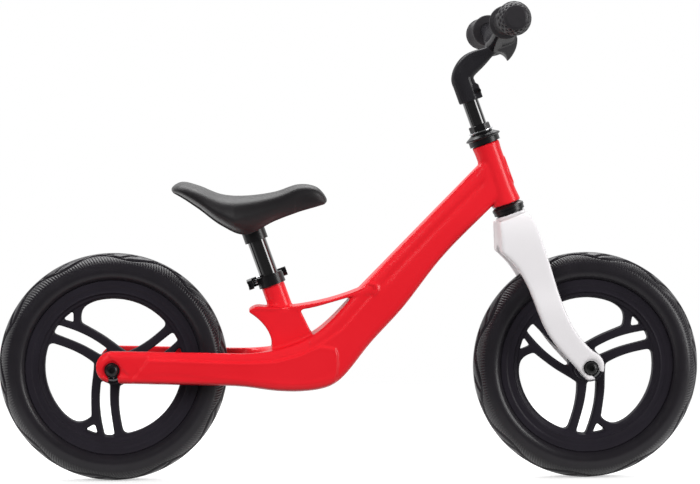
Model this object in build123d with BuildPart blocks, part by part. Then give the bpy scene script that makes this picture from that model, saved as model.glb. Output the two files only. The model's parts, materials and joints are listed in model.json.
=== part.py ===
"""Child's balance bike: cast frame and fork, moulded wheels with foam tyres, saddle on a clamped post.

Millimetres. The origin is on the ground midway between the axles; +X is forward, +Y left, +Z up.
"""
import os
from math import cos, radians, sin, sqrt

from build123d import *

os.makedirs("parts", exist_ok=True)

# Stance
wheelbase = 635.0
tyre_d = 304.8
lean = 19.8
head_behind_axle = 136.5
head_above_axle = 298.7
seat_ahead_of_axle = 208.3
seat_above_axle = 121.5

# Fits
press_gap = 0.02
slide_gap = 0.05
part_gap = 0.4

# Wheels
tyre_w = 50.0
rim_r = 117.0
rim_w = 34.0
rim_ring = 25.7
tyre_key_h = 4.0
tyre_key_w = 16.0
spoke_t = 18.0
hub_d = 40.0
hub_w = 72.0
spoke_edge = 1.6
hub_corner_r = 1.5
fork_corner_r = 4.0
window_corner_r = 7.0
slot_corner_r = 3.0
eye_corner_r = 1.0
tyre_bulge = 14.0
front_turn = 7.6

# Axles and bearings
dropout_span = 84.0
axle_d = 15.0
bolt_d = 10.0
bolt_len = 24.0
bolt_head_d = 17.0
bolt_head_h = 5.5
socket_w = 6.0
socket_deep = 3.2
washer_d = 19.8
washer_t = 1.6
recess_d = 24.6
recess_deep = 3.0
bearing_d = 32.0
bearing_w = 9.0
race_t = 2.2
ball_d = 4.76
ball_count = 11
spacer_wall = 2.4

# Frame
stay_t = 13.0
panel_rise = 1.2
panel_corner_r = 6.0
slot_w = 10.6
slot_mouth_w = 16.8
slot_deep = 50.0
rear_slot_tilt = 6.0
front_slot_tilt = 45.0
beam_half = 27.0
beam_r = 9.0
web_half = 24.0
strut_lip = 1.0
head_tube_d = 36.0
head_tube_len = 87.0
seat_tube_d = 31.5
seat_bore_deep = 122.0
slit_w = 3.0
slit_deep = 26.0

# Headset
steerer_d = 22.2
steerer_wall = 2.5
cup_bore_d = 30.0
cup_deep = 10.0
cup_d = 42.0
cup_h = 6.6
cup_floor = 1.5
lower_cup_d = 43.4
lower_cup_h = 6.0
headset_ball_d = 4.0
headset_ball_ring = 15.0
headset_ball_count = 16
cone_flange_d = 48.0
cone_flange_h = 3.2
cone_h = 9.6
cone_top_d = 30.0
lock_washer_d = 33.6
lock_washer_t = 1.6
lock_nut_d = 26.6
lock_nut_edge = 0.8
lock_nut_h = 8.4
crown_race_d = 42.0
crown_race_low_d = 36.0
crown_race_h = 10.6

# Fork
fork_leg_t = 13.0
fork_r = 3.0
crown_half = 21.5
crown_deep = 38.0
crown_boss_d = 41.0
crown_boss_h = 4.6
tyre_room = 8.0

# Handlebar
neck_d = 30.5
neck_low = 59.7
neck_h = 26.0
steerer_in_neck = 28.0
neck_room = 11.5
lug_edge = 1.4
lug_h = 20.0
lug_half = 12.0
clamp_bolt_d = 4.0
bar_d = 22.2
bar_half = 206.0
grip_inner = 101.0
grip_d = 30.0
grip_ball_d = 44.0
grip_flange_d = 44.0
grip_flange_t = 6.0
grip_end = 216.0
shield_half = 42.0
neck_edge_r = 8.0
clamp_head_d = 7.0
clamp_head_h = 4.0
clamp_nut_h = 3.2
bar_h = 141.9
bar_ahead = 67.4

# Seat
post_d = 25.4
post_wall = 2.0
post_in = 74.0
post_out = 70.0
post_in_base = 16.0
plug_t = 4.0
collar_wall = 2.6
collar_h = 13.0
collar_lug_y = 30.0
collar_lug_half = 12.0
collar_lug_low = 10.0
collar_lug_h = 14.5
skewer_d = 5.0
skewer_y = 23.5
skewer_low = 2.5
cam_d = 14.0
cam_seat_t = 5.0
lever_len = 44.0
lever_t = 7.0
lever_h = 12.0
pivot_d = 4.0
saddle_clamp_h = 14.0
saddle_clamp_wall = 3.2
saddle_lug = 5.0
saddle_lug_h = 8.0
saddle_low_half = 6.0
base_half = 17.0
base_t = 8.0
pinch_bolt_d = 4.0
pinch_head_d = 7.0
pinch_head_h = 4.0
base_socket = 6.0
pocket_back = 60.0
pocket_ahead = 56.0
pocket_back_h = 26.0
pocket_ahead_h = 34.0
pocket_low = 30.0
seat_nut_d = 12.0
seat_nut_t = 12.0
collar_lip = 1.6

# Places and directions
rear_x = -wheelbase / 2
front_x = wheelbase / 2
axle_z = tyre_d / 2
axis_x = -sin(radians(lean))
axis_z = cos(radians(lean))
head_x = front_x - head_behind_axle
head_z = axle_z + head_above_axle
seat_x = rear_x + seat_ahead_of_axle
seat_z = axle_z + seat_above_axle
stay_in = dropout_span / 2
stay_out = stay_in + stay_t
fork_out = stay_in + fork_leg_t
crown_top = -(head_tube_len + lower_cup_h + part_gap + crown_race_h)


def rear(ahead, above):
    """A side-view point measured from the rear axle."""
    return (rear_x + ahead, axle_z + above)


def front(ahead, above):
    """A side-view point measured from the front axle."""
    return (front_x + ahead, axle_z + above)


def steer(height, ahead):
    """A side-view point along and ahead of the steering axis, from the top of the head tube."""
    return (head_x + axis_x * height + axis_z * ahead, head_z + axis_z * height - axis_x * ahead)


def seat(height, ahead):
    """A side-view point along and ahead of the seat tube, from the top of the tube."""
    return (seat_x + axis_x * height + axis_z * ahead, seat_z + axis_z * height - axis_x * ahead)


def steer_plane(height):
    """The plane across the steering axis at a height above the head tube."""
    x, z = steer(height, 0)
    return Plane(origin=(x, 0, z), x_dir=(axis_z, 0, -axis_x), z_dir=(axis_x, 0, axis_z))


def seat_plane(height):
    """The plane across the seat tube at a height above its top."""
    x, z = seat(height, 0)
    return Plane(origin=(x, 0, z), x_dir=(axis_z, 0, -axis_x), z_dir=(axis_x, 0, axis_z))


steer_section = Plane(origin=(head_x, 0, head_z), x_dir=(axis_z, 0, -axis_x), z_dir=(0, -1, 0))
steer_front = Plane(origin=(head_x, 0, head_z), x_dir=(0, 1, 0), z_dir=(axis_z, 0, -axis_x))
steer_axis = Axis((head_x, 0, head_z), (axis_x, 0, axis_z))


def write(builder, name):
    """Labels a finished piece and writes it out."""
    builder.part.label = name
    export_step(builder.part, f"parts/{name}.step")


def frame_plan(rise):
    """The frame seen from above: a Y of two stays round the wheel, a yoke and a tapering beam."""
    stay_end = rear_x - 40
    flare_start = rear_x + 170
    flare_mid = rear_x + 250
    beam_start = rear_x + 335
    gap_end_x = rear_x + 206
    head_side = head_tube_d / 2 - 2.5
    side = stay_out + rise
    with BuildSketch() as plan:
        with BuildLine():
            stay_side = Line((stay_end, side), (flare_start, side))
            flare = Spline(
                stay_side @ 1,
                (flare_mid, side - 10),
                (beam_start, beam_half + 2 + rise),
                (head_x - 60, beam_half - 3.5 + rise),
                (head_x + 20, head_side + rise),
                tangents=[(1, 0), (1, -0.06)],
            )
            Line(flare @ 1, (head_x + 20, 0))
            Line((head_x + 20, 0), (stay_end, 0))
            Line((stay_end, 0), stay_side @ 0)
        make_face()
        mirror(about=Plane.XZ)
        with BuildLine():
            gap_side = Line((stay_end, stay_in), (flare_start, stay_in))
            gap_round = ThreePointArc(gap_side @ 1, (gap_end_x, 0), (flare_start, -stay_in))
            Line(gap_round @ 1, (stay_end, -stay_in))
            Line((stay_end, -stay_in), gap_side @ 0)
        make_face(mode=Mode.SUBTRACT)
    return plan.sketch


def slot_mouth(centre, tilt):
    """The open end of a dropout slot: it widens away from the axle, and leans forward by tilt degrees."""
    with BuildSketch() as mouth:
        with BuildLine():
            sides = Polyline(
                (slot_w / 2, 0),
                (slot_mouth_w / 2, -slot_deep),
                (-slot_mouth_w / 2, -slot_deep),
                (-slot_w / 2, 0),
            )
            Line(sides @ 1, sides @ 0)
        make_face()
    return Location((*centre, 0), (0, 0, tilt)) * mouth.sketch


# Side panels: the raised field along each stay, from the dropout to the bend.
with BuildPart() as side_panels:
    with BuildSketch(Plane.XZ):
        with BuildLine():
            crease = Spline(
                rear(48, 14),
                rear(116, 11.4),
                rear(168.6, 9.4),
                rear(215.8, 10.6),
                rear(247.9, 18.7),
                rear(276, 29.5),
            )
            Polyline(crease @ 1, rear(298, 26), rear(296.5, -11))
            panel_low = Spline(
                rear(296.5, -11), rear(262, -20.5), rear(209, -18.5), rear(151, -12), rear(24, -9)
            )
            Line(panel_low @ 1, crease @ 0)
        make_face()
        fillet(vertices(), panel_corner_r)
    extrude(amount=stay_out + panel_rise, both=True)
    extrude(frame_plan(panel_rise), amount=head_z, mode=Mode.INTERSECT)

# Strut: the thin bridge from the web to the beam, whose front end laps the sides of the beam.
with BuildPart() as strut:
    with BuildSketch(Plane.XZ):
        with BuildLine():
            strut_top = Spline(rear(236, 81.5), rear(270.6, 86.6), rear(316.6, 99.4), rear(340, 109))
            strut_end = ThreePointArc(strut_top @ 1, rear(353, 108), rear(343, 98))
            strut_low = Spline(strut_end @ 1, rear(310, 92.3), rear(279.2, 83.3), rear(236, 76.3))
            Line(strut_low @ 1, strut_top @ 0)
        make_face()
    extrude(amount=stay_out, both=True)
    with BuildSketch():
        with BuildLine():
            strut_side = Polyline(
                (rear_x + 230, 0),
                (rear_x + 230, web_half),
                (rear_x + 335, beam_half + 2 + strut_lip),
                (rear_x + 360, beam_half + 2 + strut_lip),
                (rear_x + 360, 0),
            )
            Line(strut_side @ 1, strut_side @ 0)
        make_face()
        mirror(about=Plane.XZ)
    extrude(amount=head_z, mode=Mode.INTERSECT)

# Frame: one magnesium casting. The side outline is cut to the plan, then the tubes are added.
with BuildPart() as frame:
    with BuildSketch(Plane.XZ):
        with BuildLine():
            stay_top = Line(rear(0, 24.9), rear(152, 21.4))
            bend_top = Spline(
                stay_top @ 1,
                rear(212, 24),
                rear(264.6, 43),
                rear(309.8, 84.3),
                rear(335.4, 111.7),
                tangents=[stay_top % 1, (0.7, 0.72)],
            )
            beam_top = Line(bend_top @ 1, steer(-20, -10))
            head_end = Line(beam_top @ 1, steer(-77, -9))
            beam_low = Spline(
                head_end @ 1,
                rear(432.3, 138.1),
                rear(384, 76),
                rear(338, 26),
                rear(312, -6.5),
                rear(294, -22),
                rear(262, -30.3),
                rear(212, -29),
                rear(152, -22.2),
                tangents=[(-0.7, -0.72), (-1, 0.02)],
            )
            stay_low = Line(beam_low @ 1, rear(-4, -18.3))
            ThreePointArc(stay_low @ 1, rear(-21.5, 1.5), stay_top @ 0)
        make_face()
    extrude(amount=stay_out, both=True)
    extrude(frame_plan(0), amount=head_z, mode=Mode.INTERSECT)
    long_edges = frame.edges().filter_by(lambda e: e.length > 15 and e.center().X < head_x - 20)
    outer_edges = long_edges.filter_by(
        lambda e: abs(e.center().Y) > (stay_in + 0.5 if e.center().X < rear_x + 190 else web_half / 2)
        and abs(e.tangent_at(0.5).Z) < 0.99
        and abs(e.tangent_at(0.5).Y) < 0.9
    )
    fillet(outer_edges, beam_r)
    add(side_panels.part)
    add(strut.part)
    with BuildSketch(Plane.XZ):
        with BuildLine():
            Polyline(rear(205, 12), rear(268, 8), rear(268, 38), rear(248.3, 78.1), rear(198.3, 81.5))
            ThreePointArc(rear(198.3, 81.5), rear(188, 81), rear(179.5, 74))
            Spline(rear(179.5, 74), rear(198.3, 59.2), rear(211, 33.6), rear(205, 12))
        make_face()
    extrude(amount=web_half, both=True)
    with BuildSketch(seat_plane(-seat_bore_deep / 2)):
        Circle(seat_tube_d / 2)
    extrude(amount=seat_bore_deep / 2)
    with BuildSketch(steer_plane(-head_tube_len)):
        Circle(head_tube_d / 2)
    extrude(amount=head_tube_len)
    # Bores of the head tube and the seat tube, with the clamp slit on the left of the seat tube.
    with BuildSketch(steer_plane(-head_tube_len)):
        Circle(cup_bore_d / 2)
    extrude(amount=head_tube_len, mode=Mode.SUBTRACT)
    with BuildSketch(seat_plane(-seat_bore_deep)):
        Circle(post_d / 2 + slide_gap)
    extrude(amount=seat_bore_deep, mode=Mode.SUBTRACT)
    with BuildSketch(seat_plane(-slit_deep)):
        with Locations((0, seat_tube_d / 2)):
            Rectangle(slit_w, seat_tube_d)
    extrude(amount=slit_deep, mode=Mode.SUBTRACT)
    # Dropouts: a slot open downwards for the axle bolt, in a round recess.
    with BuildSketch(Plane.XZ):
        with Locations(rear(0, 0)):
            Circle(slot_w / 2)
        add(slot_mouth(rear(0, 0), rear_slot_tilt))
    extrude(amount=stay_out + panel_rise, both=True, mode=Mode.SUBTRACT)
    for side in (-1, 1):
        with BuildSketch(Plane.XZ.offset(-side * (stay_out - recess_deep))):
            with Locations(rear(0, 0)):
                Circle(recess_d / 2)
        extrude(amount=-side * (recess_deep + panel_rise), mode=Mode.SUBTRACT)

write(frame, "frame")

# Headset cups: pressed into the head tube, each with a floor for its ring of balls.
with BuildPart() as headset_upper_cup:
    with BuildSketch(steer_section):
        with BuildLine():
            upper_cup_line = Polyline(
                (steerer_d / 2 + cup_floor, -cup_deep),
                (cup_bore_d / 2 - press_gap, -cup_deep),
                (cup_bore_d / 2 - press_gap, 0),
                (cup_d / 2, 0),
                (cup_d / 2, cup_h),
                (headset_ball_ring + headset_ball_d / 2 + slide_gap, cup_h),
                (headset_ball_ring + headset_ball_d / 2 + slide_gap, cup_floor),
                (steerer_d / 2 + cup_floor, cup_floor),
            )
            Line(upper_cup_line @ 1, upper_cup_line @ 0)
        make_face()
    revolve(axis=steer_axis)

write(headset_upper_cup, "headset_upper_cup")

with BuildPart() as headset_lower_cup:
    with BuildSketch(steer_section):
        with BuildLine():
            lower_cup_line = Polyline(
                (steerer_d / 2 + cup_floor, cup_deep - head_tube_len),
                (cup_bore_d / 2 - press_gap, cup_deep - head_tube_len),
                (cup_bore_d / 2 - press_gap, -head_tube_len),
                (head_tube_d / 2, -head_tube_len),
                (lower_cup_d / 2, -head_tube_len - lower_cup_h / 2),
                (lower_cup_d / 2, -head_tube_len - lower_cup_h),
                (headset_ball_ring + headset_ball_d / 2 + slide_gap, -head_tube_len - lower_cup_h),
                (headset_ball_ring + headset_ball_d / 2 + slide_gap, -head_tube_len - cup_floor),
                (steerer_d / 2 + cup_floor, -head_tube_len - cup_floor),
            )
            Line(lower_cup_line @ 1, lower_cup_line @ 0)
        make_face()
    revolve(axis=steer_axis)

write(headset_lower_cup, "headset_lower_cup")

# Headset balls: a full ring of loose balls on the floor of each cup.
ball_rise = cup_floor + slide_gap + headset_ball_d / 2
for name, height in (
    ("headset_upper_balls", ball_rise),
    ("headset_lower_balls", -head_tube_len - ball_rise),
):
    with BuildPart(steer_plane(height)) as headset_balls:
        with PolarLocations(headset_ball_ring, headset_ball_count):
            Sphere(headset_ball_d / 2)
    write(headset_balls, name)

# Steerer: a steel tube pressed into the fork crown, up through the headset into the handlebar neck.
steerer_low = crown_top - crown_deep
steerer_top = neck_low + steerer_in_neck
with BuildPart() as steerer_tube:
    with BuildSketch(steer_plane(steerer_low)):
        Circle(steerer_d / 2)
        Circle(steerer_d / 2 - steerer_wall, mode=Mode.SUBTRACT)
    extrude(amount=steerer_top - steerer_low)

write(steerer_tube, "steerer_tube")

# Crown race: the tapered seat under the lower balls, on top of the crown.
race_bore = steerer_d / 2 + press_gap
race_neck = headset_ball_ring - headset_ball_d / 2 - part_gap
race_face = -head_tube_len - lower_cup_h - part_gap
with BuildPart() as crown_race:
    with BuildSketch(steer_section):
        with BuildLine():
            race_line = Polyline(
                (race_bore, crown_top),
                (crown_race_low_d / 2, crown_top),
                (crown_race_low_d / 2, crown_top + crown_boss_h + part_gap),
                (crown_race_d / 2, crown_top + crown_boss_h + part_gap + 1),
                (crown_race_d / 2, race_face),
                (race_neck, race_face),
                (race_neck, -head_tube_len - cup_floor - part_gap),
                (race_bore, -head_tube_len - cup_floor - part_gap),
            )
            Line(race_line @ 1, race_line @ 0)
        make_face()
    revolve(axis=steer_axis)

write(crown_race, "crown_race")

# Top cone: threaded on the steerer, with a wide dust flange over the upper cup.
cone_low = cup_h + part_gap
cone_top = cone_low + cone_h
with BuildPart() as headset_cone:
    with BuildSketch(steer_section):
        with BuildLine():
            cone_line = Polyline(
                (race_bore, cup_floor + part_gap),
                (race_neck, cup_floor + part_gap),
                (race_neck, cone_low),
                (cone_flange_d / 2 - 2, cone_low),
                (cone_flange_d / 2, cone_low + cone_flange_h / 2),
                (cone_flange_d / 2 - 1, cone_low + cone_flange_h),
                (cone_top_d / 2, cone_top - cone_flange_h / 2),
                (cone_top_d / 2, cone_top),
                (race_bore, cone_top),
            )
            Line(cone_line @ 1, cone_line @ 0)
        make_face()
    revolve(axis=steer_axis)

write(headset_cone, "headset_cone")

with BuildPart() as headset_lock_washer:
    with BuildSketch(steer_plane(cone_top)):
        Circle(lock_washer_d / 2)
        Circle(race_bore, mode=Mode.SUBTRACT)
    extrude(amount=lock_washer_t)
    washer_edges = headset_lock_washer.edges().filter_by(GeomType.CIRCLE).sort_by(SortBy.LENGTH)
    fillet(washer_edges[-2:], lock_washer_t / 4)

write(headset_lock_washer, "headset_lock_washer")

# Lock nut: a round nut with six flats, on the steerer thread.
with BuildPart() as headset_lock_nut:
    with BuildSketch(steer_plane(cone_top + lock_washer_t)):
        RegularPolygon(lock_nut_d / 2, 6, major_radius=False)
        Circle(lock_nut_d / 2 + 1, mode=Mode.INTERSECT)
        Circle(race_bore, mode=Mode.SUBTRACT)
    extrude(amount=lock_nut_h)
    chamfer(headset_lock_nut.faces().sort_by(steer_axis)[-1].outer_wire().edges(), lock_nut_edge)

write(headset_lock_nut, "headset_lock_nut")

# Fork: one casting. The swept side outline is cut to the arch seen from the front.
with BuildPart() as fork:
    with BuildSketch(Plane.XZ):
        with BuildLine():
            crown_line = Line(steer(crown_top, -crown_half), steer(crown_top, crown_half))
            leg_front = Spline(
                crown_line @ 1,
                front(-64.4, 169),
                front(-49.5, 122),
                front(-26.9, 60.8),
                front(4.4, 21.4),
            )
            toe = ThreePointArc(leg_front @ 1, front(18, 4.7), front(10, -15.2))
            Line(toe @ 1, front(-4, -17.4))
            leg_back = Spline(
                front(-4, -17.4),
                front(-18.4, -1.4),
                front(-58, 46.4),
                front(-82.2, 104.4),
                front(-119, 153),
            )
            Line(leg_back @ 1, crown_line @ 0)
        make_face()
    extrude(amount=fork_out, both=True)
    with BuildSketch(Plane.YZ):
        with BuildLine():
            crown_z = steer(crown_top, crown_half)[1]
            Line((0, crown_z), (crown_half, crown_z))
            shoulder = Spline(
                (crown_half, crown_z),
                (fork_out - 8, axle_z + tyre_d / 2 + 14),
                (fork_out - 4, axle_z + tyre_d / 3),
                (fork_out, axle_z + 60),
                tangents=[(1, -0.3), (0, -1)],
            )
            Line(shoulder @ 1, (fork_out, axle_z - 30))
            Line((fork_out, axle_z - 30), (stay_in, axle_z - 30))
            Line((stay_in, axle_z - 30), (stay_in, axle_z + 40))
            arch_side = Line((stay_in, axle_z + 40), (tyre_w / 2 + tyre_room, axle_z + tyre_d / 2 - 26))
            arch = Spline(
                arch_side @ 1,
                (tyre_w / 2 - 4, axle_z + tyre_d / 2 + 2),
                (0, axle_z + tyre_d / 2 + tyre_room),
                tangents=[arch_side % 1, (-1, 0)],
            )
            Line(arch @ 1, (0, crown_z))
        make_face()
        mirror(about=Plane.YZ)
    extrude(amount=wheelbase, mode=Mode.INTERSECT)
    leg_edges = fork.edges().filter_by(
        lambda e: abs(e.center().Y) > stay_in + 1
        and abs(e.tangent_at(0.5).Y) < 0.6
        and abs(e.tangent_at(0.5).X) < 0.995
    )
    fillet(leg_edges, fork_r)
    # The boss round the foot of the crown race, then the bore for the steerer.
    with BuildSketch(steer_plane(crown_top - 1)):
        Circle(crown_boss_d / 2)
    extrude(amount=crown_boss_h + 1)
    with BuildSketch(steer_plane(crown_top)):
        Circle(crown_race_low_d / 2 + slide_gap)
    extrude(amount=crown_boss_h, mode=Mode.SUBTRACT)
    with BuildSketch(steer_plane(steerer_low - tyre_d / 8)):
        Circle(steerer_d / 2 + press_gap)
    extrude(amount=crown_deep + tyre_d / 8, mode=Mode.SUBTRACT)
    with BuildSketch(Plane.XZ):
        with Locations(front(0, 0)):
            Circle(slot_w / 2)
        add(slot_mouth(front(0, 0), front_slot_tilt))
    extrude(amount=fork_out, both=True, mode=Mode.SUBTRACT)
    for side in (-1, 1):
        with BuildSketch(Plane.XZ.offset(-side * (fork_out - recess_deep))):
            with Locations(front(0, 0)):
                Circle(recess_d / 2)
        extrude(amount=-side * recess_deep, mode=Mode.SUBTRACT)

write(fork, "fork")


def turned(point, degrees):
    """A point turned about the wheel centre."""
    x, y = point
    c = cos(radians(degrees))
    s = sin(radians(degrees))
    return (c * x - s * y, s * x + c * y)


# Wheel face: three pairs of curved spokes. The outline of one pair, hanging down from the hub, is
# repeated by thirds of a turn. Each pair has a long slot, and one spoke forks at the rim.
third = 120
window_r = rim_r - rim_ring
rim_in_r = window_r + 2.5
slot_end = -window_r - 0.7
hub_corner = (8.4, -25.4)
fork_corner = (-29.9, -66)
rim_corner = (13.4, -sqrt(window_r**2 - 13.4**2))
pair_right = (hub_corner, (6.85, -41), (8.2, -64), (10.4, -76.8), rim_corner)
pair_left = (turned(hub_corner, -third), (-27.4, -10), (-29.5, -28), (-30.1, -48), fork_corner)
fork_branch = (fork_corner, (-40, -72.3), (-48, -73.5), (-56, -70.7), (-65.5, -sqrt(window_r**2 - 65.5**2)))
with BuildSketch() as window:
    with BuildLine():
        right_edge = Spline(*pair_right)
        Spline(*[turned(p, third) for p in pair_left])
        branch_edge = Spline(*[turned(p, third) for p in fork_branch])
        ThreePointArc(right_edge @ 1, turned((0, -window_r), third / 2 - 14), branch_edge @ 1)
    make_face()
    for corner, corner_r in (
        (hub_corner, hub_corner_r),
        (turned(fork_corner, third), fork_corner_r),
        (rim_corner, window_corner_r),
    ):
        fillet(window.vertices().sort_by_distance((*corner, 0))[0], corner_r)
with BuildSketch() as slot:
    with BuildLine():
        slot_left = Spline(
            (-16.8, -17.8), (-18.5, -33), (-18.9, -45), (-18.4, -57), (-15.8, -76), (-12.3, slot_end)
        )
        slot_right = Spline(
            (-4.8, -22.6), (-5, -35), (-4.7, -50), (-3.6, -61), (-0.9, -80), (0.8, slot_end)
        )
        Line(slot_left @ 0, slot_right @ 0)
        Line(slot_left @ 1, slot_right @ 1)
    make_face()
    fillet(slot.vertices(), slot_corner_r)
with BuildSketch() as eye:
    with BuildLine():
        eye_line = Polyline((-38.6, -83.8), (-25.3, -76), (-21.4, -90.2))
        Line(eye_line @ 1, eye_line @ 0)
    make_face()
    fillet(eye.vertices(), eye_corner_r)
with BuildSketch() as spoke_face:
    Circle(window_r + 7)
    with PolarLocations(0, 3):
        add(window.sketch, mode=Mode.SUBTRACT)
        add(slot.sketch, mode=Mode.SUBTRACT)
        add(eye.sketch, mode=Mode.SUBTRACT)

inner_half = hub_w / 2 - bearing_w
pitch_r = (axle_d + bearing_d) / 4
groove_r = ball_d / 2 + slide_gap
for end, axle_x, hand, turn, outer in (
    ("rear", rear_x, 1, 0, stay_out),
    ("front", front_x, -1, front_turn, fork_out),
):
    centre = (axle_x, 0, axle_z)
    wheel_face = Plane(origin=centre, x_dir=(hand, 0, 0), z_dir=(0, -hand, 0))
    wheel_section = Plane(origin=centre, x_dir=(0, 1, 0), z_dir=(1, 0, 0))
    wheel_axis = Axis(centre, (0, 1, 0))
    across = Plane(origin=centre, x_dir=(-1, 0, 0), z_dir=(0, 1, 0))

    # Rim: hub, spokes and rim ring in one nylon moulding, with a key that holds the tyre.
    with BuildPart() as rim:
        with BuildSketch(wheel_face):
            add(spoke_face.sketch, rotation=turn)
        extrude(amount=spoke_t / 2, both=True)
        chamfer(rim.faces().filter_by(Axis.Y).edges(), spoke_edge)
        with BuildSketch(wheel_section):
            with BuildLine():
                ring_line = Polyline(
                    (-rim_w / 2 + 5, rim_in_r),
                    (rim_w / 2 - 5, rim_in_r),
                    (rim_w / 2 - 4, window_r + 7),
                    (rim_w / 2, window_r + 9),
                    (rim_w / 2, rim_r),
                    (tyre_key_w / 2, rim_r),
                    (tyre_key_w / 2 - 2, rim_r + tyre_key_h),
                    (2 - tyre_key_w / 2, rim_r + tyre_key_h),
                    (-tyre_key_w / 2, rim_r),
                    (-rim_w / 2, rim_r),
                    (-rim_w / 2, window_r + 9),
                    (4 - rim_w / 2, window_r + 7),
                )
                Line(ring_line @ 1, ring_line @ 0)
            make_face()
        revolve(axis=wheel_axis)
        with BuildSketch(wheel_face):
            Circle(hub_d / 2)
        extrude(amount=hub_w / 2, both=True)
        with BuildSketch(across):
            Circle(pitch_r + ball_d / 4)
        extrude(amount=hub_w / 2, both=True, mode=Mode.SUBTRACT)
        for side in (-1, 1):
            with BuildSketch(across.offset(side * inner_half)):
                Circle(bearing_d / 2)
            extrude(amount=side * bearing_w, mode=Mode.SUBTRACT)
    write(rim, f"{end}_rim")

    # Tyre: a solid foam tyre, grooved inside to fit over the key of the rim.
    with BuildPart() as tyre:
        tyre_in = rim_r + press_gap
        key_in = tyre_key_h + press_gap
        with BuildSketch(wheel_section):
            with BuildLine():
                half_line = Polyline(
                    (0, tyre_in + key_in),
                    (tyre_key_w / 2 - 2 + press_gap, tyre_in + key_in),
                    (tyre_key_w / 2 + press_gap, tyre_in),
                    (rim_w / 2 + 1, tyre_in),
                )
                wall = Spline(
                    half_line @ 1,
                    (tyre_w / 2, tyre_in + tyre_bulge),
                    (tyre_w / 2 - 6, tyre_d / 2 - 9),
                    (0, tyre_d / 2),
                    tangents=[(1, 0.3), (-1, 0)],
                )
                Line(wall @ 1, half_line @ 0)
            make_face()
            mirror(about=Plane.YZ)
        revolve(axis=wheel_axis)
    write(tyre, f"{end}_tyre")

    # Bearings: two sealed ball bearings, whose outer rings sit in the hub and inner rings on the axle.
    bearing_mids = (-inner_half - bearing_w / 2, inner_half + bearing_w / 2)
    for ring, ring_in, ring_out in (
        ("outer", bearing_d / 2 - race_t, bearing_d / 2 - press_gap),
        ("inner", axle_d / 2 + press_gap, axle_d / 2 + race_t),
    ):
        with BuildPart() as rings:
            with BuildSketch(wheel_section):
                for mid in bearing_mids:
                    with Locations((mid, (ring_in + ring_out) / 2)):
                        Rectangle(bearing_w - slide_gap, ring_out - ring_in)
                    with Locations((mid, pitch_r)):
                        Circle(groove_r, mode=Mode.SUBTRACT)
            revolve(axis=wheel_axis)
        write(rings, f"{end}_bearing_{ring}_rings")

    with BuildPart() as balls:
        for mid in bearing_mids:
            with Locations(across.offset(mid).location):
                with PolarLocations(pitch_r, ball_count):
                    Sphere(ball_d / 2)
    write(balls, f"{end}_bearing_balls")

    # Axle: a steel tube between the dropouts, threaded at both ends for the bolts.
    with BuildPart() as axle:
        with BuildSketch(across):
            Circle(axle_d / 2)
        extrude(amount=stay_in, both=True)
        for side in (-1, 1):
            with BuildSketch(across.offset(side * (stay_in - bolt_len))):
                Circle(bolt_d / 2)
            extrude(amount=side * bolt_len, mode=Mode.SUBTRACT)
    write(axle, f"{end}_axle")

    # Spacers: one long sleeve between the inner rings, and a short one against each dropout.
    with BuildPart() as hub_spacer:
        with BuildSketch(across):
            Circle(axle_d / 2 + spacer_wall)
            Circle(axle_d / 2 + press_gap, mode=Mode.SUBTRACT)
        extrude(amount=inner_half, both=True)
    write(hub_spacer, f"{end}_hub_spacer")

    with BuildPart() as end_spacers:
        for side in (-1, 1):
            with BuildSketch(across.offset(side * hub_w / 2)):
                Circle(axle_d / 2 + spacer_wall)
                Circle(axle_d / 2 + press_gap, mode=Mode.SUBTRACT)
            extrude(amount=side * (stay_in - hub_w / 2))
    write(end_spacers, f"{end}_end_spacers")

    # Axle washers and button-head bolts, in the recess of each dropout.
    seat_y = outer - recess_deep
    with BuildPart() as washers:
        for side in (-1, 1):
            with BuildSketch(across.offset(side * seat_y)):
                Circle(washer_d / 2)
                Circle(bolt_d / 2 + slide_gap, mode=Mode.SUBTRACT)
            extrude(amount=side * washer_t)
    write(washers, f"{end}_axle_washers")

    with BuildPart() as bolts:
        for side in (-1, 1):
            head_y = seat_y + washer_t
            with BuildSketch(across.offset(side * (stay_in - bolt_len + 2))):
                Circle(bolt_d / 2 - slide_gap)
            extrude(amount=side * (head_y - stay_in + bolt_len - 2))
            with BuildSketch(wheel_section):
                with BuildLine():
                    head_line = Polyline(
                        (side * (head_y + bolt_head_h), 0),
                        (side * head_y, 0),
                        (side * head_y, bolt_head_d / 2),
                        (side * (head_y + 1), bolt_head_d / 2),
                    )
                    ThreePointArc(
                        head_line @ 1,
                        (side * (head_y + bolt_head_h * 0.75), bolt_head_d * 0.39),
                        (side * (head_y + bolt_head_h), bolt_head_d * 0.25),
                    )
                    Line((side * (head_y + bolt_head_h), bolt_head_d * 0.25), head_line @ 0)
                make_face()
            revolve(axis=wheel_axis)
            with BuildSketch(across.offset(side * (head_y + bolt_head_h - socket_deep))):
                RegularPolygon(socket_w / 2, 6, major_radius=False)
            extrude(amount=side * socket_deep, mode=Mode.SUBTRACT)
    write(bolts, f"{end}_axle_bolts")

# Handlebar: one casting of a neck sleeve, a forward arm, two swept arms and a pointed shield.
# The side points are along and ahead of the steering axis.
clamp_ahead = steerer_d / 2 + clamp_bolt_d / 2 + lug_edge / 2
lug_reach = clamp_ahead + clamp_bolt_d / 2 + lug_edge


def steer_points(pairs):
    """Side-view points from pairs of a distance ahead of the steering axis and a height along it."""
    return [steer(height, ahead) for ahead, height in pairs]


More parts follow.
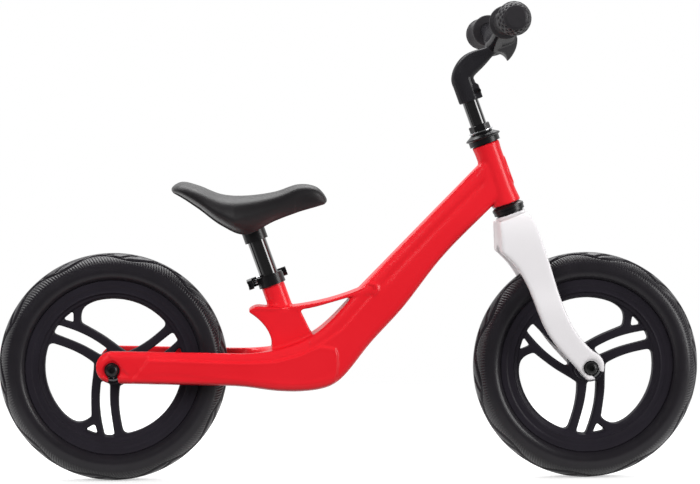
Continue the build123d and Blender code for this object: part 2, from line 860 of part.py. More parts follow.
with BuildPart() as shield:
    with BuildSketch(Plane.XZ):
        with BuildLine():
            face_line = Spline(*steer_points(((80, 130), (83.6, 115), (77.6, 103), (65.2, 93.4))))
            back_line = Spline(*steer_points(((65.2, 93.4), (62.5, 104.6), (55, 109))))
            Polyline(back_line @ 1, *steer_points(((56, 128),)), face_line @ 0)
        make_face()
    extrude(amount=shield_half, both=True)
    with BuildSketch(steer_front):
        with BuildLine():
            brow = Polyline(
                (0, 132),
                (shield_half, 132),
                (shield_half, 120),
                (shield_half * 0.6, 108),
                (2, 92),
                (0, 92),
            )
            Line(brow @ 1, brow @ 0)
        make_face()
        mirror(about=Plane.YZ)
    extrude(amount=2 * bar_ahead, both=True, mode=Mode.INTERSECT)

with BuildPart() as handlebar:
    with BuildSketch(steer_plane(neck_low)):
        Circle(neck_d / 2)
    extrude(amount=neck_h)
    for ahead, height, thick, wide, edge_r, slope in (
        (0, neck_low + neck_h, neck_d, neck_d, neck_d / 2.1, 90),
        (1.2, 94.6, 29.5, 30, 13, 66),
        (11, 103.8, 30, 30, 11, 41),
        (22.9, 109.2, 28.8, 31, 10, 31),
        (37.2, 112.2, 20.5, 33, neck_edge_r, 19),
        (61, 120, 17, 36, neck_edge_r, 17),
    ):
        x, z = steer(height, ahead)
        slope_x, slope_z = steer(sin(radians(slope)), cos(radians(slope)))
        across_arm = Plane(origin=(x, 0, z), x_dir=(0, 1, 0), z_dir=(slope_x - head_x, 0, slope_z - head_z))
        with BuildSketch(across_arm):
            RectangleRounded(wide, thick, edge_r)
    loft()
    for hand in (-1, 1):
        for y, ahead, height, long, deep in (
            (0, 64, 117.5, 42, 24),
            (hand * 48, 66, 127, 32, 20),
            (hand * grip_inner, bar_ahead, bar_h, bar_d, bar_d),
        ):
            x, z = steer(height, ahead)
            with BuildSketch(Plane(origin=(x, y, z), x_dir=(axis_z, 0, -axis_x), z_dir=(0, 1, 0))):
                RectangleRounded(long, deep, deep * 0.45)
        loft()
        x, z = steer(bar_h, bar_ahead)
        with BuildSketch(Plane(origin=(x, hand * grip_inner, z), x_dir=(1, 0, 0), z_dir=(0, hand, 0))):
            Circle(bar_d / 2)
        extrude(amount=bar_half - grip_inner)
    add(shield.part)
    # Clamp lugs on the front of the sleeve, the slit between them and the bolt hole.
    with BuildSketch(steer_plane(neck_low)):
        with Locations((lug_reach / 2, 0)):
            Rectangle(lug_reach, 2 * lug_half)
    extrude(amount=lug_h)
    with BuildSketch(steer_plane(neck_low)):
        Circle(steerer_d / 2 + slide_gap)
    extrude(amount=steerer_in_neck + neck_room, mode=Mode.SUBTRACT)
    with BuildSketch(steer_plane(neck_low)):
        with Locations((lug_reach, 0)):
            Rectangle(2 * lug_reach, slit_w)
    extrude(amount=lug_h + slit_w, mode=Mode.SUBTRACT)
    clamp_x, clamp_z = steer(neck_low + lug_h / 2, clamp_ahead)
    with BuildSketch(Plane.XZ):
        with Locations((clamp_x, clamp_z)):
            Circle(clamp_bolt_d / 2 + slide_gap)
    extrude(amount=lug_half, both=True, mode=Mode.SUBTRACT)

write(handlebar, "handlebar")

# Clamp bolt and nut through the lugs.
clamp_face = Plane(origin=(clamp_x, 0, clamp_z), x_dir=(-1, 0, 0), z_dir=(0, 1, 0))
with BuildPart() as handlebar_clamp_bolt:
    with BuildSketch(clamp_face.offset(-lug_half)):
        Circle(clamp_bolt_d / 2 - slide_gap)
    extrude(amount=2 * lug_half + clamp_nut_h)
    with BuildSketch(clamp_face.offset(-lug_half - clamp_head_h)):
        Circle(clamp_head_d / 2)
    extrude(amount=clamp_head_h)
    fillet(handlebar_clamp_bolt.edges().sort_by(Axis.Y)[0], 1)
    with BuildSketch(clamp_face.offset(-lug_half - clamp_head_h)):
        RegularPolygon(clamp_bolt_d / 3, 6, major_radius=False)
    extrude(amount=clamp_head_h / 2, mode=Mode.SUBTRACT)

write(handlebar_clamp_bolt, "handlebar_clamp_bolt")

with BuildPart() as handlebar_clamp_nut:
    with BuildSketch(clamp_face.offset(lug_half)):
        RegularPolygon(clamp_head_d / 2, 6, major_radius=False)
        Circle(clamp_bolt_d / 2, mode=Mode.SUBTRACT)
    extrude(amount=clamp_nut_h)

write(handlebar_clamp_nut, "handlebar_clamp_nut")

# Grips: rubber sleeves with an inner flange and a round knob at the end.
bar_x, bar_z = steer(bar_h, bar_ahead)
for name, hand in (("right_grip", -1), ("left_grip", 1)):
    with BuildPart() as grip:
        with BuildSketch(Plane(origin=(bar_x, 0, bar_z), x_dir=(0, hand, 0), z_dir=(hand, 0, 0))):
            with BuildLine():
                knob_y = grip_end - grip_ball_d / 2
                sleeve = Polyline(
                    (bar_half + slide_gap, 0),
                    (bar_half + slide_gap, bar_d / 2 + press_gap),
                    (grip_inner + slide_gap, bar_d / 2 + press_gap),
                    (grip_inner + slide_gap, grip_flange_d / 2 - 2),
                )
                flange = ThreePointArc(
                    sleeve @ 1,
                    (grip_inner + grip_flange_t / 2, grip_flange_d / 2),
                    (grip_inner + grip_flange_t, grip_flange_d / 2 - 2),
                )
                Polyline(
                    flange @ 1,
                    (grip_inner + grip_flange_t + 3, grip_d / 2),
                    (knob_y - grip_ball_d / 2 + 4, grip_d / 2),
                    (knob_y - 8, grip_ball_d / 2 - 2),
                )
                knob_round = ThreePointArc(
                    (knob_y - 8, grip_ball_d / 2 - 2),
                    (knob_y, grip_ball_d / 2),
                    (knob_y + 9, grip_ball_d / 2 - 3),
                )
                face_r = grip_ball_d / 2 - 8
                shoulder_end = ThreePointArc(
                    knob_round @ 1,
                    (grip_end - 4, grip_ball_d / 2 - 4.8),
                    (grip_end, face_r),
                )
                Polyline(shoulder_end @ 1, (grip_end, 0), sleeve @ 0)
            make_face()
        revolve(axis=Axis((bar_x, 0, bar_z), (0, 1, 0)))
    write(grip, name)

# Seat post: a steel tube with a plastic plug in its lower end.
with BuildPart() as seat_post:
    with BuildSketch(seat_plane(-post_in)):
        Circle(post_d / 2)
        Circle(post_d / 2 - post_wall, mode=Mode.SUBTRACT)
    extrude(amount=post_in + post_out + post_in_base)

write(seat_post, "seat_post")

with BuildPart() as seat_post_plug:
    with BuildSketch(seat_plane(-post_in - plug_t)):
        Circle(post_d / 2 - post_wall / 2)
    extrude(amount=plug_t)
    with BuildSketch(seat_plane(-post_in)):
        Circle(post_d / 2 - post_wall - press_gap)
    extrude(amount=plug_t)

write(seat_post_plug, "seat_post_plug")

# Seat clamp: a slit collar on the seat tube, closed by a skewer on the left that runs fore and aft.
collar_d = seat_tube_d + 2 * collar_wall
with BuildPart() as seat_clamp_collar:
    with BuildSketch(seat_plane(-collar_h)):
        Circle(collar_d / 2)
        Circle(seat_tube_d / 2 + press_gap, mode=Mode.SUBTRACT)
    extrude(amount=collar_h)
    with BuildSketch(seat_plane(0)):
        Circle(collar_d / 2 - collar_lip / 2)
        Circle(post_d / 2 + part_gap, mode=Mode.SUBTRACT)
    extrude(amount=collar_lip)
    with BuildSketch(seat_plane(-collar_lug_low)):
        with Locations((0, collar_lug_y / 2)):
            Rectangle(2 * collar_lug_half, collar_lug_y)
        Circle(seat_tube_d / 2 + press_gap, mode=Mode.SUBTRACT)
    extrude(amount=collar_lug_h)
    with BuildSketch(seat_plane(-collar_h)):
        with Locations((0, collar_lug_y / 2)):
            Rectangle(slit_w, collar_lug_y)
    extrude(amount=collar_h + collar_lug_h, mode=Mode.SUBTRACT)
    skewer_x, skewer_z = seat(-skewer_low, 0)
    skewer_face = Plane(
        origin=(skewer_x, skewer_y, skewer_z), x_dir=(0, 1, 0), z_dir=(axis_z, 0, -axis_x)
    )
    with BuildSketch(skewer_face):
        Circle(skewer_d / 2 + slide_gap)
    extrude(amount=collar_d, both=True, mode=Mode.SUBTRACT)

write(seat_clamp_collar, "seat_clamp_collar")

# Skewer: a threaded rod with a round eye for the lever's pin at its rear end.
pivot_back = collar_lug_half + cam_seat_t + cam_d / 2 + part_gap
nut_out = collar_lug_half + seat_nut_t
with BuildPart() as seat_clamp_skewer:
    with BuildSketch(skewer_face.offset(-pivot_back)):
        Circle(skewer_d / 2)
    extrude(amount=pivot_back + nut_out)
    eye_x, eye_z = seat(-skewer_low, -pivot_back)
    eye_plane = Plane(
        origin=(eye_x, skewer_y, eye_z), x_dir=(axis_z, 0, -axis_x), z_dir=(axis_x, 0, axis_z)
    )
    with BuildSketch(eye_plane):
        Circle(pivot_d)
    extrude(amount=skewer_d / 2, both=True)
    with BuildSketch(eye_plane):
        Circle(pivot_d / 2 + slide_gap)
    extrude(amount=skewer_d, both=True, mode=Mode.SUBTRACT)

write(seat_clamp_skewer, "seat_clamp_skewer")

# Knurled nut on the front end of the skewer.
with BuildPart() as seat_clamp_nut:
    with BuildSketch(skewer_face.offset(collar_lug_half)):
        Circle(seat_nut_d / 2)
        with PolarLocations(seat_nut_d / 2, 18):
            Circle(0.8, mode=Mode.SUBTRACT)
        Circle(skewer_d / 2 + slide_gap, mode=Mode.SUBTRACT)
    extrude(amount=seat_nut_t)

write(seat_clamp_nut, "seat_clamp_nut")

# Cam seat: the washer that the lever's cam presses on.
with BuildPart() as seat_clamp_cam_washer:
    with BuildSketch(skewer_face.offset(-collar_lug_half)):
        Circle(seat_nut_d / 2)
        Circle(skewer_d / 2 + slide_gap, mode=Mode.SUBTRACT)
    extrude(amount=-cam_seat_t)

write(seat_clamp_cam_washer, "seat_clamp_cam_washer")

with BuildPart() as seat_clamp_pivot:
    with BuildSketch(eye_plane):
        Circle(pivot_d / 2)
    extrude(amount=lever_h / 2, both=True)

write(seat_clamp_pivot, "seat_clamp_pivot")

# Lever: a forked cam on the pin and an arm that lies behind the post, grooved along its back.
with BuildPart() as seat_clamp_lever:
    with BuildSketch(eye_plane):
        Circle(cam_d / 2)
        with Locations((-lever_t / 2, 0)):
            Rectangle(lever_t, lever_len, align=(Align.CENTER, Align.MAX))
    extrude(amount=lever_h / 2, both=True)
    fillet(seat_clamp_lever.edges().group_by(Axis.Y)[0].sort_by(SortBy.LENGTH)[:2], 1.5)
    with BuildSketch(eye_plane):
        Circle(cam_d / 2 + part_gap)
    extrude(amount=skewer_d / 2 + part_gap, both=True, mode=Mode.SUBTRACT)
    with BuildSketch(eye_plane):
        Circle(pivot_d / 2 + slide_gap)
    extrude(amount=lever_h, both=True, mode=Mode.SUBTRACT)
    with BuildSketch(eye_plane):
        with Locations((-lever_t, -cam_d)):
            Rectangle(lever_t, lever_len, align=(Align.CENTER, Align.MAX))
    extrude(amount=lever_h / 4, both=True, mode=Mode.SUBTRACT)

write(seat_clamp_lever, "seat_clamp_lever")

# Saddle: stations along its length give half width, crown height and underside height.
# Each section is a crown arc, two rounded shoulders, drawn-in sides and a flat underside.
saddle_x, saddle_z = seat(post_out, 0)
saddle_stations = (
    (-107, 30, 53.6, 46.5),
    (-92, 50, 60.1, 38.5),
    (-70, 59, 55.1, 24),
    (-40, 54, 43.6, 2),
    (-8, 43, 41.6, -10),
    (30, 32, 46.6, 7.5),
    (62, 25, 56.6, 19.5),
    (86, 19, 53.6, 26.5),
    (101, 9, 39.5, 31),
)
with BuildPart() as saddle_cover:
    for ahead, half, crown, low in saddle_stations:
        deep = crown - low
        shoulder_in = half * 0.78
        low_half = half * 0.45 + saddle_low_half
        drop = min(half * 0.5, deep * 0.5)
        with BuildSketch(Plane(origin=(saddle_x + ahead, 0, saddle_z), x_dir=(0, 1, 0), z_dir=(1, 0, 0))):
            with BuildLine():
                shoulder_z = crown - drop * 0.3
                top_arc = ThreePointArc((-shoulder_in, shoulder_z), (0, crown), (shoulder_in, shoulder_z))
                right_arc = ThreePointArc(
                    top_arc @ 1, (half * 0.95, crown - drop * 0.6), (half, crown - drop)
                )
                left_arc = ThreePointArc(
                    top_arc @ 0, (-half * 0.95, crown - drop * 0.6), (-half, crown - drop)
                )
                Line(right_arc @ 1, (low_half, low))
                Line((low_half, low), (-low_half, low))
                Line((-low_half, low), left_arc @ 1)
            make_face()
    loft()
    with BuildSketch(Plane.XZ):
        with BuildLine():
            pocket_line = Polyline(
                (saddle_x - pocket_back, saddle_z - pocket_low),
                (saddle_x - pocket_back, saddle_z + pocket_back_h),
                (saddle_x + pocket_ahead, saddle_z + pocket_ahead_h),
                (saddle_x + pocket_ahead, saddle_z - pocket_low),
            )
            Line(pocket_line @ 1, pocket_line @ 0)
        make_face()
    extrude(amount=base_half, both=True, mode=Mode.SUBTRACT)

write(saddle_cover, "saddle_cover")

# Saddle base: the nylon pan inside the cover, with a socket for the post.
with BuildPart() as saddle_base:
    with BuildSketch(Plane.XZ):
        with BuildLine():
            base_line = Polyline(
                (saddle_x - pocket_back + slide_gap, saddle_z + pocket_back_h - base_t),
                (saddle_x - pocket_back + slide_gap, saddle_z + pocket_back_h - slide_gap),
                (saddle_x + pocket_ahead - slide_gap, saddle_z + pocket_ahead_h - slide_gap),
                (saddle_x + pocket_ahead - slide_gap, saddle_z + pocket_ahead_h - base_t),
                (saddle_x + 20, saddle_z + 12),
                (saddle_x - 14, saddle_z - 2),
                (saddle_x - 40, saddle_z + 6),
            )
            Line(base_line @ 1, base_line @ 0)
        make_face()
    extrude(amount=base_half - slide_gap, both=True)
    with BuildSketch(seat_plane(post_out - base_socket)):
        Circle(post_d / 2 + saddle_clamp_wall)
    extrude(amount=base_socket + post_in_base)
    with BuildSketch(seat_plane(post_out - base_socket)):
        Circle(post_d / 2 + slide_gap)
    extrude(amount=base_socket + post_in_base + slide_gap, mode=Mode.SUBTRACT)

write(saddle_base, "saddle_base")

# Saddle clamp: a slit sleeve under the base that pinches the top of the post, its lugs on the left.
clamp_low = post_out - base_socket - saddle_clamp_h
pinch_y = post_d / 2 + saddle_clamp_wall + pinch_head_d / 2 + part_gap
pinch_reach = pinch_y + pinch_bolt_d
pinch_x, pinch_z = seat(clamp_low + saddle_lug_h / 2, 0)
pinch_face = Plane(origin=(pinch_x, pinch_y, pinch_z), x_dir=(0, 1, 0), z_dir=(axis_z, 0, -axis_x))
with BuildPart() as saddle_clamp:
    with BuildSketch(seat_plane(clamp_low)):
        Circle(post_d / 2 + saddle_clamp_wall)
    extrude(amount=saddle_clamp_h)
    with BuildSketch(seat_plane(clamp_low)):
        with Locations((0, pinch_reach / 2)):
            Rectangle(2 * saddle_lug, pinch_reach)
    extrude(amount=saddle_lug_h)
    with BuildSketch(seat_plane(clamp_low)):
        Circle(post_d / 2 + slide_gap)
        with Locations((0, pinch_reach / 2)):
            Rectangle(slit_w, pinch_reach)
    extrude(amount=saddle_clamp_h, mode=Mode.SUBTRACT)
    with BuildSketch(pinch_face):
        Circle(pinch_bolt_d / 2 + slide_gap)
    extrude(amount=2 * saddle_lug, both=True, mode=Mode.SUBTRACT)

write(saddle_clamp, "saddle_clamp")

# Pinch bolt and nut across the lugs of the saddle clamp.
with BuildPart() as saddle_clamp_bolt:
    with BuildSketch(pinch_face.offset(-saddle_lug)):
        Circle(pinch_bolt_d / 2)
    extrude(amount=2 * saddle_lug + clamp_nut_h)
    with BuildSketch(pinch_face.offset(-saddle_lug - pinch_head_h)):
        Circle(pinch_head_d / 2)
    extrude(amount=pinch_head_h)
    with BuildSketch(pinch_face.offset(-saddle_lug - pinch_head_h)):
        RegularPolygon(pinch_bolt_d / 3, 6, major_radius=False)
    extrude(amount=pinch_head_h / 2, mode=Mode.SUBTRACT)

write(saddle_clamp_bolt, "saddle_clamp_bolt")

with BuildPart() as saddle_clamp_nut:
    with BuildSketch(pinch_face.offset(saddle_lug)):
        RegularPolygon(pinch_head_d / 2, 6, major_radius=False)
        Circle(pinch_bolt_d / 2 + slide_gap, mode=Mode.SUBTRACT)
    extrude(amount=clamp_nut_h)

write(saddle_clamp_nut, "saddle_clamp_nut")
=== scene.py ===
import json
import bmesh
import bpy
import numpy as np
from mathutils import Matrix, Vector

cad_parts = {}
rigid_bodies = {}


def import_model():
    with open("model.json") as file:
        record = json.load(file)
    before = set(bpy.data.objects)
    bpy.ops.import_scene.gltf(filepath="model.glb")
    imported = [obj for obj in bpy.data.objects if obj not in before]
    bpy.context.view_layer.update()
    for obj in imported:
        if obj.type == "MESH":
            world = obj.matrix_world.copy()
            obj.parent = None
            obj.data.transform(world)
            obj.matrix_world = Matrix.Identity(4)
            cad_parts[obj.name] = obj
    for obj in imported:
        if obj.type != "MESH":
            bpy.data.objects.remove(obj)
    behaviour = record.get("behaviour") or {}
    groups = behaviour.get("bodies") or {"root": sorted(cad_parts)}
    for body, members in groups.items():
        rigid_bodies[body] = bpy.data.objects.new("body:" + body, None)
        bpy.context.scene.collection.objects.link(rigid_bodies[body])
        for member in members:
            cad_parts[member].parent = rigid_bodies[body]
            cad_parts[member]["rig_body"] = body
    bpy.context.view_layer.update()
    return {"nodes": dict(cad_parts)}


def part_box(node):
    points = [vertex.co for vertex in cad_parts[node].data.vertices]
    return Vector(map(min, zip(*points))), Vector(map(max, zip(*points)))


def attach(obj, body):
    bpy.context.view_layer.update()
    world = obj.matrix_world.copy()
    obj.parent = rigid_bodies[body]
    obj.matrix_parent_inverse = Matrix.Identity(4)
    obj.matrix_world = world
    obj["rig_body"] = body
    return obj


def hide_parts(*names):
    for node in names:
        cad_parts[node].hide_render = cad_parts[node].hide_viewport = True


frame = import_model()
nodes = frame["nodes"]


# The frame: one light-alloy casting with a low beam, two stays, a strut and the two tubes.
# The mould draws a raised panel, a crease and a facet on its sides, and flares the head tube.
# It is sprayed red and clear-coated, so the paint is smooth with a faint orange peel.
class Shade:
    """Wraps one output socket of a material, so that sums written on it become Math nodes."""

    def __init__(self, tree, socket=None):
        self.tree = tree
        self.socket = socket

    def node(self, kind, settings, sockets, output=0):
        """Adds a node, sets its settings first, then fills its sockets with numbers, colours or links."""
        made = self.tree.nodes.new("ShaderNode" + kind)
        for name, value in settings.items():
            setattr(made, name, value)
        for name, value in sockets.items():
            if isinstance(value, Shade):
                self.tree.links.new(value.socket, made.inputs[name])
            else:
                made.inputs[name].default_value = value
        return Shade(self.tree, made.outputs[output])

    def sum_with(self, operation, first, second):
        return self.node("Math", {"operation": operation}, {0: first, 1: second})

    def __add__(self, other):
        return self.sum_with("ADD", self, other)

    def __radd__(self, other):
        return self.sum_with("ADD", other, self)

    def __sub__(self, other):
        return self.sum_with("SUBTRACT", self, other)

    def __mul__(self, other):
        return self.sum_with("MULTIPLY", self, other)


def plain_colour(red, green, blue):
    """A colour read as 0 to 255 on screen, turned to the linear values that a shader takes."""
    screen = np.array((red, green, blue)) / 255
    linear = np.where(screen <= 0.04045, screen / 12.92, ((screen + 0.055) / 1.055) ** 2.4)
    return (*[round(float(x), 5) for x in linear], 1.0)


def finish_on(name, shader_values, build):
    """A material named for a finish: a shader with fixed values, and build adds what varies over it."""
    material = bpy.data.materials.new(name)
    material.use_nodes = True
    tree = material.node_tree
    shader = tree.nodes["Principled BSDF"]
    for socket, value in shader_values.items():
        shader.inputs[socket].default_value = value
    start = Shade(tree)
    place = start.node("TexCoord", {}, {}, "Object")
    for socket, value in build(place).items():
        tree.links.new(value.socket, shader.inputs[socket])
    return material


def speckle(place, scale, detail=2.0):
    """Noise from 0 to 1 over the piece's own place, with so many waves to the metre."""
    return place.node("TexNoise", {}, {"Vector": place, "Scale": scale, "Detail": detail}, "Fac")


def two_tone(amount, first, second):
    """A colour between two, by an amount from 0 to 1."""
    return amount.node("Mix", {"data_type": "RGBA"}, {0: amount, 6: first, 7: second}, 2)


def relief(height, depth, strength):
    """A bump of so many metres from a height of 0 to 1, shown at a strength of 0 to 1."""
    return height.node("Bump", {}, {"Height": height, "Distance": depth, "Strength": strength})


def dress(material, *names):
    """Gives a material to carried-over nodes."""
    for name in names:
        mesh = nodes[name].data
        mesh.materials.clear()
        mesh.materials.append(material)


def softened(name, node, grain, passes, moulded=None):
    """A node's skin as cast: a merged copy laid out as an even net, grain apart, and eased by passes.

    Each pass moves a point half way to the middle of its neighbours, which rounds edges and fills corners.
    Then moulded, if there is one, takes the points in millimetres and their normals, and gives new points.
    """
    piece = bpy.data.objects.new(name, nodes[node].data.copy())
    bpy.context.scene.collection.objects.link(piece)
    weld = piece.modifiers.new("merged", "WELD")
    weld.merge_threshold = 0.00001
    net = piece.modifiers.new("net", "REMESH")
    net.mode = "VOXEL"
    net.voxel_size = grain
    ease = piece.modifiers.new("eased", "SMOOTH")
    ease.factor = 0.5
    ease.iterations = passes
    made = bpy.data.meshes.new_from_object(piece.evaluated_get(bpy.context.evaluated_depsgraph_get()))
    piece.modifiers.clear()
    piece.data = made
    made.name = name
    made.polygons.foreach_set("use_smooth", np.ones(len(made.polygons), bool))
    made.materials.clear()
    if moulded:
        points = np.empty(len(made.vertices) * 3)
        normals = np.empty(len(made.vertices) * 3)
        made.vertices.foreach_get("co", points)
        made.vertices.foreach_get("normal", normals)
        moved = moulded(points.reshape(-1, 3) * 1000, normals.reshape(-1, 3)) / 1000
        made.vertices.foreach_set("co", moved.ravel())
        made.update()
    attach(piece, nodes[node]["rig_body"])
    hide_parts(node)
    return piece


def ramp_between(values, low, high):
    """0 below low, 1 above high, and an even S-curve between them."""
    share = np.clip((values - low) / (high - low), 0, 1)
    return share * share * (3 - 2 * share)


def bell(values, width):
    """1 at zero, falling smoothly to nothing about twice the width away."""
    return np.exp(-((values / width) ** 2))


def smooth_through(points, places):
    """A line through points, read at places counted in points from the first.

    Each span is a cubic, and its slope at a point is half the step between the points beside it.
    """
    points = np.asarray(points, float)
    first, last = points[:1] * 2 - points[1:2], points[-1:] * 2 - points[-2:-1]
    all_points = np.concatenate((first, points, last))
    span = np.clip(np.floor(places).astype(int), 0, len(points) - 2)
    t = (places - span).reshape(-1, *[1] * (points.ndim - 1))
    before, start, end, after = (all_points[span + k] for k in range(4))
    return (
        start * (2 * t**3 - 3 * t**2 + 1)
        + (end - before) / 2 * (t**3 - 2 * t**2 + t)
        + end * (3 * t**2 - 2 * t**3)
        + (after - start) / 2 * (t**3 - t**2)
    )


def left_of(points, line):
    """How far points lie from a bent line, counted as positive on the line's left hand.

    The nearest run of the line gives the distance, and the turn from that run to the point gives the hand.
    """
    signed = np.full(len(points), 1e9)
    for start, end in zip(line[:-1], line[1:]):
        run, gap = np.subtract(end, start), points - start
        share = np.clip(gap @ run / (run @ run), 0, 1)
        far = np.linalg.norm(gap - share[:, None] * run, axis=1)
        hand = np.where(run[0] * gap[:, 1] - run[1] * gap[:, 0] > 0, 1, -1)
        signed = np.where(far < np.abs(signed), far * hand, signed)
    return signed


rear_axle_x, front_axle_x, axle_z = -317.5, 317.5, 152.4
head_x, head_z = 181, 451.1
axis_x, axis_z = -0.3387, 0.9409
crease = [
    (48, 14), (116, 11.4), (168.6, 9.4), (215.8, 10.6), (247.9, 18.7), (263, 25.2),
    (284.3, 37.1), (304.3, 50.9), (321.6, 69.7), (338.4, 88.9),
]
lap_end = [(346, 97.5), (349.5, 104), (346.5, 110), (340, 110.5), (324.8, 105)]
panel_front = [(276, 29.5), (287.5, 27.8), (296, 25.5), (298.6, 18), (299.1, 2.2), (296.5, -16)]
solid_panel = [
    (24, -9), (151, -12), (209, -18.5), (262, -20.5), (288, -14.5), (296.5, -8), (297.8, 21), (292, 27),
    (280, 29), (272, 28), (247.9, 18.7), (215.8, 10.6), (168.6, 9.4), (116, 11.4), (53, 13.6), (45, 12),
    (24, -9),
]
facet = [(349, 105), (355, 111), (382, 139), (422, 180.5), (462, 219), (520, 275)]
web_line = [(181, 76.5), (210.8, 76.6), (247.3, 80.7), (268, 84)]


def frame_mould(points, normals):
    """The frame's points moved by what the mould draws on the casting, in millimetres.

    On the sides, the solid's plain panel is levelled by 1.2, and a panel 2.1 high with a crisp edge takes
    its place. The strip above the crease sinks by 2.0, and by 0.8 more in its rear part, and comes level
    again by a bell curve. The web rises by 1.0 above its line. The beam leans in by a fifth above its facet
    line, and has a groove 2.2 deep below the line. The head tube swells by a bell curve towards its two
    ends, and has an oval pad in front.
    """
    place = points[:, (0, 2)] - (rear_axle_x, axle_z)
    hand = np.sign(points[:, 1])
    facing = ramp_between(normals[:, 1] * hand, 0.3, 0.75)
    panel = [(20, -22), (10, -60), (297, -60), *panel_front[::-1], *crease[5::-1], (20, -22)]
    strip = [*crease, *lap_end, (236, 140), (48, 140), crease[0]]
    in_panel, in_strip = left_of(place, panel), left_of(place, strip)
    rise = left_of(place, facet)
    on_beam = ramp_between(place[:, 0], 346, 372)
    above = (rise + np.sqrt(rise**2 + 50)) / 2 * on_beam
    in_solid_panel, over_web = left_of(place, solid_panel), left_of(place, web_line)
    move = 2.1 * ramp_between(in_panel, -1.3, 1.7) - 1.2 * ramp_between(in_solid_panel, -6.2, 6.2)
    move -= 2.0 * ramp_between(in_strip, -1.3, 1.7) * bell(in_strip, 14)
    move -= 0.8 * ramp_between(in_strip, 4.5, 6) * bell(in_strip - 6, 7) * (place[:, 0] < 262)
    move += 1.0 * ramp_between(over_web, -0.8, 1.0) * bell(over_web, 10)
    gap = points[:, (0, 2)] - (head_x, head_z)
    height, out = gap @ (axis_x, axis_z), gap @ (axis_z, -axis_x)
    radius = np.hypot(out, points[:, 1])
    move -= (0.2 * above + 2.2 * bell(rise + 3, 4) * on_beam) * ramp_between(radius, 20, 34)
    points[:, 1] += hand * facing * move
    swell = 1.9 * bell(height + 88, 13) + 0.9 * bell(height, 9)
    oval = 1 - ((height + 44) / 21) ** 2 - (np.arctan2(points[:, 1], out) / 0.62) ** 2
    swell += 1.2 * ramp_between(oval, 0, 0.3)
    on_tube = ramp_between(radius, 15.6, 17.4) * (1 - ramp_between(radius, 19, 26))
    on_tube *= ramp_between(height, -92, -90) * (1 - ramp_between(height, 2, 4))
    grow = 1 + swell * on_tube / np.maximum(radius, 1)
    points[:, 1] *= grow
    points[:, (0, 2)] += ((grow - 1) * out)[:, None] * (axis_z, -axis_x)
    return points


def red_paint_detail(place):
    tint = speckle(place, 18)
    return {
        "Base Color": two_tone(tint, plain_colour(227, 24, 36), plain_colour(232, 30, 42)),
        "Roughness": speckle(place, 60) * 0.08 + 0.3,
        "Normal": relief(speckle(place, 900), 0.0001, 0.15),
    }


red_shine = {"Specular IOR Level": 0.0, "Coat Weight": 0.6, "Coat Roughness": 0.26}
red_paint = finish_on("red_paint", red_shine, red_paint_detail)
frame_casting = softened("frame_casting", "frame", 0.0016, 14, frame_mould)
frame_casting.data.materials.append(red_paint)


# The fork: one light-alloy casting of a crown and two legs, which holds the steerer tube.
# It is sprayed in a pale satin enamel, smooth with a faint grain.
def pale_paint_detail(place):
    tint = speckle(place, 14)
    return {
        "Base Color": two_tone(tint, plain_colour(226, 223, 225), plain_colour(234, 231, 233)),
        "Roughness": speckle(place, 60) * 0.1 + 0.36,
        "Normal": relief(speckle(place, 1100), 0.0002, 0.2),
    }


pale_paint = finish_on("pale_paint", {"Coat Weight": 0.2, "Coat Roughness": 0.25}, pale_paint_detail)
fork_casting = softened("fork_casting", "fork", 0.0016, 12)
fork_casting.data.materials.append(pale_paint)


# The black fittings: the headset, the seat clamp, the axle bolts and spacers, and the saddle's clamp.
# They are pressed or turned metal with a satin black coat, and are pressed, screwed or bolted on.
def black_fitting_detail(place):
    tint = speckle(place, 220)
    return {
        "Base Color": two_tone(tint, plain_colour(13, 12, 14), plain_colour(20, 19, 21)),
        "Roughness": speckle(place, 500) * 0.15 + 0.26,
        "Normal": relief(speckle(place, 1800), 0.0001, 0.3),
    }


black_fitting = finish_on("black_fitting", {"Specular IOR Level": 0.4}, black_fitting_detail)
dress(
    black_fitting,
    "headset_upper_cup", "headset_lower_cup", "headset_cone", "headset_lock_nut", "crown_race",
    "seat_clamp_collar", "seat_clamp_nut", "seat_clamp_lever", "seat_clamp_pivot",
    "rear_axle_bolts", "front_axle_bolts", "rear_axle_washers", "front_axle_washers",
    "rear_end_spacers", "front_end_spacers", "handlebar_clamp_bolt", "handlebar_clamp_nut",
    "saddle_clamp", "saddle_clamp_bolt", "saddle_clamp_nut",
)


# The bright steel: axles, bearings, hub spacers, loose balls, the lock washer and the clamp's skewer.
# It is turned and zinc-plated, and nearly all of it is hidden in the hubs and the head tube.
def bright_steel_detail(place):
    grain = speckle(place, 700, 4.0)
    return {
        "Base Color": two_tone(grain, plain_colour(196, 197, 200), plain_colour(222, 222, 224)),
        "Roughness": grain * 0.2 + 0.14,
        "Normal": relief(grain, 0.00005, 0.2),
    }


bright_steel = finish_on("bright_steel", {"Metallic": 1.0}, bright_steel_detail)
dress(
    bright_steel,
    "headset_lock_washer", "headset_upper_balls", "headset_lower_balls", "seat_clamp_skewer",
    "seat_clamp_cam_washer", "rear_axle", "front_axle", "rear_hub_spacer", "front_hub_spacer",
    "rear_bearing_inner_rings", "front_bearing_inner_rings", "rear_bearing_outer_rings",
    "front_bearing_outer_rings", "rear_bearing_balls", "front_bearing_balls",
)


# The steerer and the seat post: drawn steel tubes under a gloss black enamel.
# The steerer is fixed in the fork, and the post slides in the seat tube, where the clamp holds it.
def black_tube_detail(place):
    tint = speckle(place, 90)
    return {
        "Base Color": two_tone(tint, plain_colour(14, 13, 14), plain_colour(20, 19, 20)),
        "Roughness": speckle(place, 200) * 0.06 + 0.12,
    }


tube_shine = {"Specular IOR Level": 0.6, "Coat Weight": 1.0, "Coat Roughness": 0.05}
black_tube = finish_on("black_tube", tube_shine, black_tube_detail)
dress(black_tube, "steerer_tube", "seat_post")


